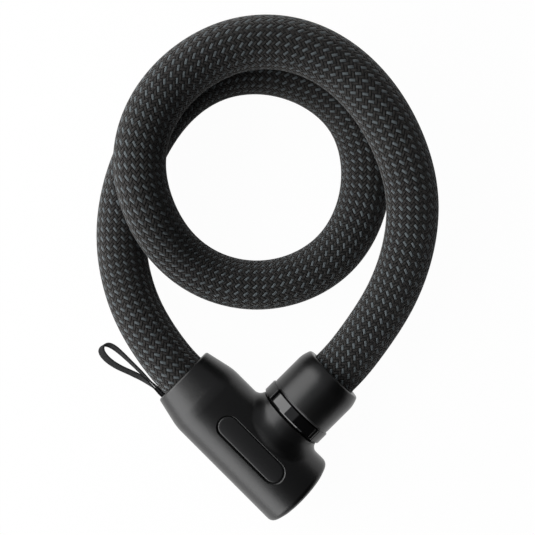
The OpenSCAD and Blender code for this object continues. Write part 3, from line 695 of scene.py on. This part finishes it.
class Tree:
    """The nodes of a material or a world; node() adds each that isn't there already."""

    def __init__(self, owner):
        owner.use_nodes = True
        self.nodes, self.links = owner.node_tree.nodes, owner.node_tree.links

    def feed(self, node, sockets):
        """Sets a node's inputs to values, or links them to other nodes' outputs."""
        for key, value in sockets.items():
            socket = socket_of(node.inputs, key)
            if isinstance(value, Value):
                self.links.new(value.socket, socket)
            else:
                socket.default_value = value

    def node(self, kind, settings=None, sockets=None):
        """Adds a node with its settings and inputs, and gives its outputs by identifier."""
        made = self.nodes.new("ShaderNode" + kind)
        for key, value in (settings or {}).items():
            setattr(made, key, value)
        self.feed(made, sockets or {})
        return {s.identifier: Value(self, s) for s in made.outputs}

    def given(self, name):
        """What a node that was there already gives out."""
        return Value(self, self.nodes[name].outputs[0])

    def parts(self, vector):
        split = self.node("SeparateXYZ", sockets={"Vector": vector})
        return split["X"], split["Y"], split["Z"]

    def blended(self, factor, low, high):
        """A shader between low and high."""
        return self.node("MixShader", sockets={0: factor, 1: low, 2: high})["Shader"]

    def ray_kinds(self):
        """1 for the camera's own rays, and 1 for those that gloss and clear pieces see."""
        path = self.node("LightPath")
        return path["Is Camera Ray"], path["Is Glossy Ray"].max(path["Is Transmission Ray"])


class Surface(Tree):
    """One material with a Principled shader, and short ways to feed it."""

    def __init__(self, name, colour, rough, metallic=0.0, fixed=None):
        self.material = bpy.data.materials.new(name)
        super().__init__(self.material)
        self.shader = self.nodes["Principled BSDF"]
        self.feed(self.shader, {"Base Color": (*colour, 1), "Roughness": rough,
                                "Metallic": metallic, **(fixed or {})})

    def place(self):
        """The point on the surface in millimetres."""
        return self.node("VectorMath", {"operation": "SCALE"},
                         {0: self.node("TexCoord")["Object"], "Scale": 1000})["Vector"]

    def joined(self, x, y, z=0.0):
        return self.node("CombineXYZ", sockets={"X": x, "Y": y, "Z": z})["Vector"]

    def noise(self, vector, scale, detail=2.0, rough=0.5):
        return self.node("TexNoise", sockets={
            "Vector": vector, "Scale": scale, "Detail": detail, "Roughness": rough})["Fac"]

    def mixed(self, factor, low, high):
        """A colour between low and high, each a colour or an earlier mix."""
        low, high = (c if isinstance(c, Value) else (*c, 1) for c in (low, high))
        return self.node("Mix", {"data_type": "RGBA"}, {
            "Factor_Float": factor, "A_Color": low, "B_Color": high})["Result_Color"]

    def colour(self, colour):
        self.feed(self.shader, {"Base Color": colour})

    def rough(self, number):
        self.feed(self.shader, {"Roughness": number.clamp()})

    def bump(self, height, depth):
        """Relief of that depth, in millimetres, where height goes from 0 to 1."""
        relief = self.node("Bump", sockets={
            "Strength": 1.0, "Distance": depth * MM, "Height": height})
        self.feed(self.shader, {"Normal": relief["Normal"]})

    def put_on(self, *pieces):
        for piece in pieces:
            piece.data.materials.clear()
            piece.data.materials.append(self.material)

    def dress(self, *names):
        """Puts the material on frame nodes that show as they are."""
        for name in names:
            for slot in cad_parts[name].material_slots:
                slot.material = self.material


# Materials ------------------------------------------------------------------------------

YARNS = 3.5
PALE_YARN = (0.1, 0.117, 0.125)
# The first of the next two colours is painted shade, for the gaps between strands and where a
# strand dives under others; the second is the dark strands' own colour on their crowns.
BRAID_PAINTED_SHADE, BRAID_YARN = (0.0012, 0.0012, 0.0012), (0.026, 0.0243, 0.023)


def braid_material():
    """Flat strands that cross, over two and under two; every second one in one direction
    carries pale yarns."""
    m = Surface("braid", (0.02, 0.02, 0.02), 0.75, fixed={
        "Sheen Weight": 0.22, "Sheen Roughness": 0.35, "Sheen Tint": (0.92, 0.9, 0.88, 1),
        "Specular IOR Level": 0.16})
    u, v, _ = m.parts(m.node("UVMap")["UV"])
    # a and b count the strands of the two directions, and strands i and j cross here
    a, b = (v + u) * 2, (v - u) * 2
    i, j = a.floor(), b.floor()
    off_a, off_b = a - i - 0.5, b - j - 0.5
    over = (j - i) % 4 < 1.5
    # How far each has come between the places where it dives under the others, 0 to 1
    along_a = (b - i) % 4 / 2
    along_b = (a - j - 1) % 4 / 2
    off = over * off_a + (1 - over) * off_b
    along = over * along_a + (1 - over) * along_b
    crown = 1 - off.abs().between(0.2, 0.5)
    lift = (along.min(1.0) * math.pi).sin().max(0.0).pow(0.5)
    yarns = (off * (2 * math.pi * YARNS)).sin()
    height = crown * (0.2 + 0.8 * lift) + 0.06 * yarns
    speck = m.noise(m.joined(a * 0.5, b * 0.5), 9.0, 3.0, 0.7)
    tone = m.noise(m.joined(u * 0.35, v * 0.35), 1.0)
    pale_strand = i % 2 < 0.5
    inside = (0.48 - off_a.abs()).between(0.0, 0.08)
    inside = inside * along_a.between(0.0, 0.1) * (1 - along_a.between(0.9, 1.0))
    pale = over * pale_strand * inside * (0.72 + 0.55 * (speck - 0.5) + 0.12 * yarns)
    # Painted shade: the colour darkens with the strands' height, into the gaps and where a
    # strand dives under the others; tone and speck add the yarns' real unevenness.
    light = height.max(0.0).pow(1.3) * 0.9 + (tone - 0.5) * 0.4 + (speck - 0.5) * 0.5
    dark = m.mixed(light.clamp(), BRAID_PAINTED_SHADE, BRAID_YARN)
    m.colour(m.mixed(pale.clamp(), dark, PALE_YARN))
    m.rough(0.82 - 0.12 * pale + 0.08 * (speck - 0.5))
    m.bump(height, 0.45)
    return m


def soft_touch_material():
    """Moulded plastic with a soft-touch coat, faintly cloudy."""
    rough = 0.33
    m = Surface("soft_touch", (0.002, 0.002, 0.002), rough, fixed={"Specular IOR Level": 0.47})
    grain = m.noise(m.place(), 9.0, 3.0, 0.6)
    cloud = m.noise(m.place(), 0.12, 3.0)
    m.colour(m.mixed(cloud, (0.0017, 0.0017, 0.0018), (0.0025, 0.0024, 0.0024)))
    m.rough(rough + 0.08 * (grain - 0.5) + 0.06 * (cloud - 0.5))
    m.bump(grain, 0.02)
    return m


def gloss_material():
    """Polished black with a thin film of wear."""
    m = Surface("gloss_black", (0.002, 0.002, 0.0022), 0.06, fixed={"Specular IOR Level": 0.7})
    film = m.noise(m.place(), 0.6, 3.0, 0.6)
    m.rough(0.05 + 0.05 * film.between(0.45, 0.8))
    m.bump(m.noise(m.place(), 3.0), 0.002)
    return m


def grained_material(name, colour, rough, uneven, specular, grain_size, grain_depth):
    """An even finish with a fine grain."""
    scale, detail, fineness = grain_size
    m = Surface(name, colour, rough, fixed={"Specular IOR Level": specular})
    grain = m.noise(m.place(), scale, detail, fineness)
    m.rough(rough + uneven * (grain - 0.5))
    m.bump(grain, grain_depth)
    return m


RIB_PITCH, WARP_PITCH = 0.55, 0.42
SELVEDGE = (1.9, 2.2)


def ribbon_material():
    """Tape woven from fine ribs, with firmer selvedges."""
    m = Surface("ribbon", (0.012, 0.012, 0.0125), 0.8, fixed={
        "Sheen Weight": 0.06, "Sheen Roughness": 0.4, "Specular IOR Level": 0.12})
    u, v, _ = m.parts(m.node("UVMap")["UV"])
    rib = (v * (2 * math.pi / RIB_PITCH)).sin()
    warp = (u * (2 * math.pi / WARP_PITCH)).sin()
    edge = u.abs().between(*SELVEDGE)
    height = 0.5 + 0.3 * rib * warp + 0.2 * rib * (1 - edge) + 0.2 * edge
    fuzz = m.noise(m.joined(u, v), 6.0, 3.0, 0.6)
    # Painted shade: the colour darkens where the ribs lie low and is lighter on the raised
    # selvedges; fuzz adds the tape's real unevenness.
    light = (height * 0.7 + fuzz * 0.4).clamp()
    m.colour(m.mixed(light, (0.002, 0.002, 0.0021), (0.014, 0.014, 0.0145)))
    m.rough(0.78 + 0.15 * (fuzz - 0.5))
    m.bump(height, 0.12)
    return m


def metal_material(name, colour, rough, stretch):
    """Ground or plated metal, with tool marks drawn out along one way and dull stains."""
    m = Surface(name, colour, rough, metallic=1.0)
    place = m.place()
    x, y, z = (part * by for part, by in zip(m.parts(place), stretch))
    lines = m.noise(m.joined(x, y, z), 1.6, 4.0, 0.6)
    stain = m.noise(place, 0.15, 3.0)
    dull = tuple(c * 0.72 for c in colour)
    m.colour(m.mixed((lines * 0.5 + stain * 0.5).clamp(), dull, colour))
    m.rough(rough + 0.22 * (lines - 0.5) + 0.1 * (stain - 0.5))
    m.bump(lines, 0.01)
    return m


cap_black = grained_material("cap_black", (0.006, 0.006, 0.0065), 0.55, 0.15, 0.35,
                             (7.0, 3.0, 0.6), 0.03)
badge_satin = grained_material("badge_satin", (0.006, 0.006, 0.0063), 0.34, 0.1, 0.5,
                               (14.0, 2.0, 0.5), 0.012)
seal_rubber = grained_material("seal_rubber", (0.002, 0.002, 0.002), 0.7, 0.2, 0.1,
                               (5.0, 3.0, 0.6), 0.03)
ground_steel = metal_material("ground_steel", (0.5, 0.5, 0.51), 0.34, (1, 1, 6))
plated_steel = metal_material("plated_steel", (0.42, 0.43, 0.45), 0.4, (3, 3, 1))
wire_steel = metal_material("wire_steel", (0.34, 0.35, 0.36), 0.45, (4, 4, 4))
brass = metal_material("brass", (0.62, 0.46, 0.2), 0.3, (1, 1, 5))

braid_material().put_on(sleeve)
ribbon_material().put_on(strap)
badge_satin.put_on(badge)
soft_touch_material().put_on(shell, ferrule, collar)
gloss_material().put_on(band)
cap_black.put_on(cap)
plated_steel.put_on(shells)
wire_steel.put_on(rope)

cap_black.dress("sleeve_clamp")
seal_rubber.dress("plug_seal")
plated_steel.dress("inner_case", "latch_plate", "locking_plug", "drum_face")
ground_steel.dress("cylinder_pin", "cable_anchor", "anchor_pins", "plug_crimp", "crimp_pins",
                   "cam_disc", "side_bar", "shutter_pin", "keyhole_shutter")
brass.dress("cylinder_housing", "plug_bush", "key_drum", "code_discs")

# Studio ---------------------------------------------------------------------------------

WHITE, COOL_WHITE = (1, 1, 1, 1), (0.95, 0.97, 1, 1)
FLOOR_REACH, FLOOR_Z = 4, -0.0002
FLOOR_WHITE = 0.975
WALL_TOP = 0.03
CEILING, LIGHTER_SIDE, GLOSS_GLOW = 0.02, 0.36, 0.6


def add_floor():
    """A pale floor that takes the lock's shadow and is seen as an even white."""
    corners = [(-1, -1), (1, -1), (1, 1), (-1, 1)]
    floor = add_mesh("floor", [(x * FLOOR_REACH, y * FLOOR_REACH, FLOOR_Z) for x, y in corners],
                     [(0, 1, 2, 3)])
    m = Surface("floor", (0.8, 0.8, 0.8), 0.9)
    camera, mirrored = m.ray_kinds()
    glow = m.node("Emission", sockets={"Color": WHITE})["Emission"]
    seen = m.blended(camera.max(mirrored) * FLOOR_WHITE, m.given("Principled BSDF"), glow)
    m.feed(m.nodes["Material Output"], {"Surface": seen})
    m.put_on(floor)


def add_world():
    """A white backdrop. What gloss shows of it ends low down, at a dark ceiling that is
    lighter on one side, and only that ceiling's light falls on the lock."""
    world = bpy.data.worlds.new("studio")
    bpy.context.scene.world = world
    tree = Tree(world)
    x, y, z = tree.parts(tree.node("TexCoord")["Generated"])
    camera, mirrored = tree.ray_kinds()
    wall = 1 - z.between(0.0, WALL_TOP)
    glow = GLOSS_GLOW * (0 - x - y).between(0.4, 1.1)
    light = CEILING + LIGHTER_SIDE * (y - x).between(-0.23, -0.07) + mirrored * glow
    unlit = tree.node("Background", sockets={"Color": WHITE, "Strength": 0.0})["Background"]
    lit = tree.node("Background", sockets={"Color": COOL_WHITE})["Background"]
    tree.feed(tree.nodes["Background"], {"Color": WHITE})
    seen = tree.blended(camera.max(mirrored * wall), tree.blended(light, unlit, lit),
                        tree.given("Background"))
    tree.feed(tree.nodes["World Output"], {"Surface": seen})


def add_light(name, at, size, power):
    """A large soft lamp that points at the lock."""
    data = bpy.data.lights.new(name, "AREA")
    data.shape = "RECTANGLE"
    data.size, data.size_y = size
    data.energy = power
    light = bpy.data.objects.new(name, data)
    light.location = at
    light.rotation_mode = "QUATERNION"
    light.rotation_quaternion = (Vector((0, 0, 0.02)) - Vector(at)).to_track_quat("-Z", "Y")
    bpy.context.scene.collection.objects.link(light)


add_floor()
add_world()
add_light("high_box", (-0.87, 0.36, 0.58), (1.45, 1.25), 18)
add_light("low_box", (-0.83, -0.54, 0.36), (1.6, 0.85), 13)
bpy.context.scene.view_settings.view_transform = "Standard"
